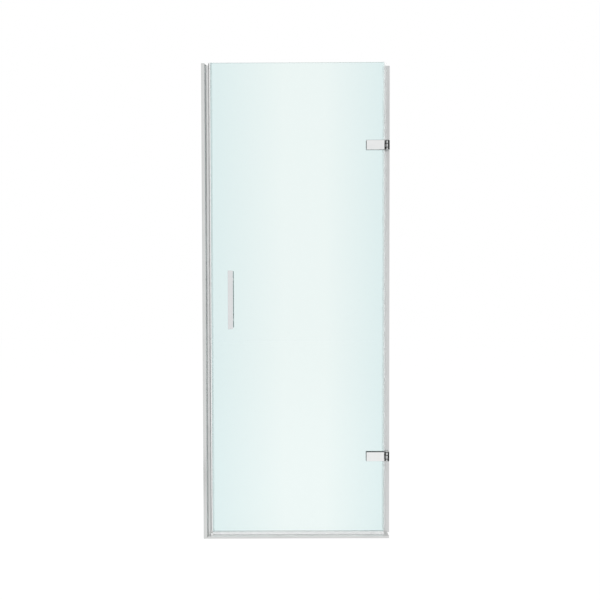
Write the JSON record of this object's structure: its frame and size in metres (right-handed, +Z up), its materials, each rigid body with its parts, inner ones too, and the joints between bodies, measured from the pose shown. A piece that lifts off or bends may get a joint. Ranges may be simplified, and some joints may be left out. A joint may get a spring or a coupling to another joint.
{
  "type": "frameless shower door",
  "caption": "Frameless glass shower door on barrel hinges, with a square bar handle, a magnetic strike channel, a slim wall profile and a low threshold.",
  "frame": {"origin": "middle of the base: halfway between the walls, on the glass's middle plane, at the underside of the threshold", "axes": "+X towards the hinge side, +Y into the shower, +Z up"},
  "size_m": [0.709, 0.112, 1.794],
  "materials": {
    "polished_profile": "bright polished",
    "hinge_chrome": "polished",
    "handle_chrome": "polished",
    "screw_steel": "plain stainless",
    "black_nylon": "matt",
    "white_nylon": "matt",
    "grey_vinyl": "satin",
    "clear_vinyl": "clear, slightly cloudy",
    "magnet_rubber": "matt",
    "clear_glass": "clear toughened, polished edges"
  },
  "bodies": {
    "frame": {"strike_wall_channel": "polished_profile", "strike_channel_cap": "polished_profile", "hinge_wall_profile": "polished_profile", "hinge_profile_cover": "polished_profile", "hinge_profile_cap": "polished_profile", "threshold": "polished_profile", "threshold_end": "polished_profile", "upper_wall_leaf": "hinge_chrome", "upper_leaf_screws": "screw_steel", "upper_hinge_pin": "screw_steel", "upper_thrust_washers": "black_nylon", "upper_barrel_caps": "black_nylon", "lower_wall_leaf": "hinge_chrome", "lower_leaf_screws": "screw_steel", "lower_hinge_pin": "screw_steel", "lower_thrust_washers": "black_nylon", "lower_barrel_caps": "black_nylon"},
    "strike": {"strike_profile": "polished_profile", "strike_profile_cap": "polished_profile", "strike_magnet_carrier": "grey_vinyl", "strike_magnet": "magnet_rubber", "adjusting_screws": "screw_steel", "adjusting_screw_caps": "grey_vinyl"},
    "door": {"glass_panel": "clear_glass", "upper_front_clamp": "hinge_chrome", "upper_hinge_bush": "white_nylon", "upper_rear_clamp": "hinge_chrome", "upper_gaskets": "clear_vinyl", "upper_clamp_screws": "screw_steel", "upper_glass_sleeves": "white_nylon", "lower_front_clamp": "hinge_chrome", "lower_hinge_bush": "white_nylon", "lower_rear_clamp": "hinge_chrome", "lower_gaskets": "clear_vinyl", "lower_clamp_screws": "screw_steel", "lower_glass_sleeves": "white_nylon", "outer_handle_bar": "handle_chrome", "outer_handle_posts": "handle_chrome", "inner_handle_bar": "handle_chrome", "inner_handle_posts": "handle_chrome", "handle_washers": "clear_vinyl", "handle_studs": "screw_steel", "handle_sleeves": "white_nylon", "handle_grub_screws": "screw_steel", "closing_edge_seal": "clear_vinyl", "door_magnet": "magnet_rubber", "hinge_edge_seals": "clear_vinyl", "bottom_sweep": "clear_vinyl"}
  },
  "joints": [
    {"name": "door_swing", "type": "hinge", "parent": "frame", "child": "door", "pos_m": [0.3435, 0, 0.8955], "axis": [0, 0, 1], "range_deg": [0, 90]},
    {"name": "strike_adjustment", "type": "slide", "parent": "frame", "child": "strike", "axis": [1, 0, 0], "range_m": [-0.004, 0]}
  ]
}
